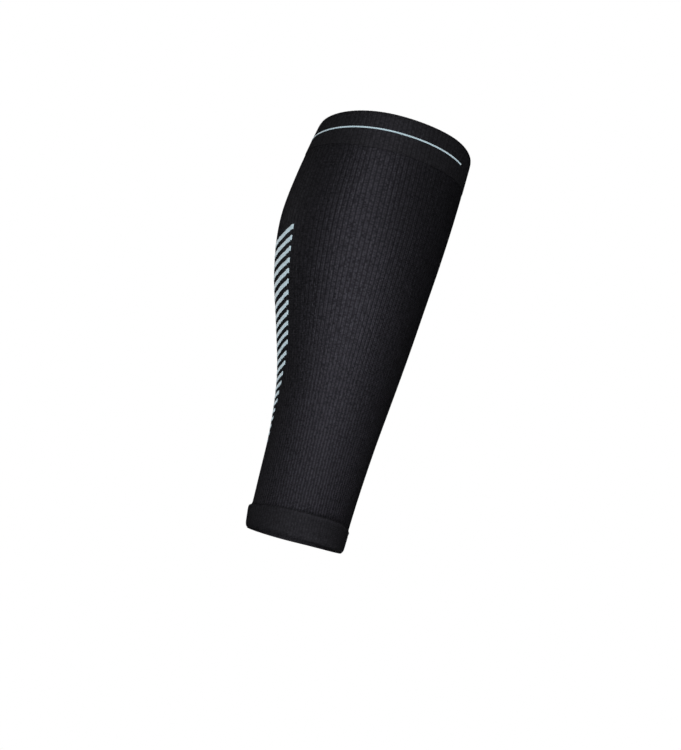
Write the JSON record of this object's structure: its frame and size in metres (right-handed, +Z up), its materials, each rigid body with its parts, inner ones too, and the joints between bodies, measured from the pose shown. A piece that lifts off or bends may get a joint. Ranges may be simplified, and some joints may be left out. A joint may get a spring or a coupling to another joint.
{
  "type": "footless football sock",
  "caption": "Seamless ribbed knit calf sleeve, open at both ends, with turned welts at knee and ankle and a ladder of pale bars up the back.",
  "frame": {"origin": "on the leg's axis at the fullest girth of the calf, where the worn sleeve sits on the leg", "axes": "+Z up the leg towards the knee, +X towards the shin, -X towards the back of the calf, +Y to the left of a wearer facing +X"},
  "size_m": [0.1369, 0.1266, 0.3305],
  "materials": {
    "calf_knit": "black ribbed nylon and elastane knit, matt with a soft sheen",
    "welt_knit": "black double-layer knit, finer rib, matt",
    "pale_yarn": "pale blue knitted-in yarn, matt"
  },
  "bodies": {
    "root": {"calf_tube": "calf_knit", "top_welt": "welt_knit", "ankle_welt": "welt_knit", "welt_stripe": "pale_yarn", "calf_bar_01": "pale_yarn", "calf_bar_02": "pale_yarn", "calf_bar_03": "pale_yarn", "calf_bar_04": "pale_yarn", "calf_bar_05": "pale_yarn", "calf_bar_06": "pale_yarn", "calf_bar_07": "pale_yarn", "calf_bar_08": "pale_yarn", "calf_bar_09": "pale_yarn", "calf_bar_10": "pale_yarn", "calf_bar_11": "pale_yarn", "calf_bar_12": "pale_yarn", "calf_bar_13": "pale_yarn", "calf_bar_14": "pale_yarn", "calf_bar_15": "pale_yarn", "calf_bar_16": "pale_yarn", "calf_bar_17": "pale_yarn", "calf_bar_18": "pale_yarn", "calf_bar_19": "pale_yarn", "calf_bar_20": "pale_yarn", "calf_bar_21": "pale_yarn", "calf_bar_22": "pale_yarn", "calf_bar_23": "pale_yarn"}
  },
  "joints": []
}
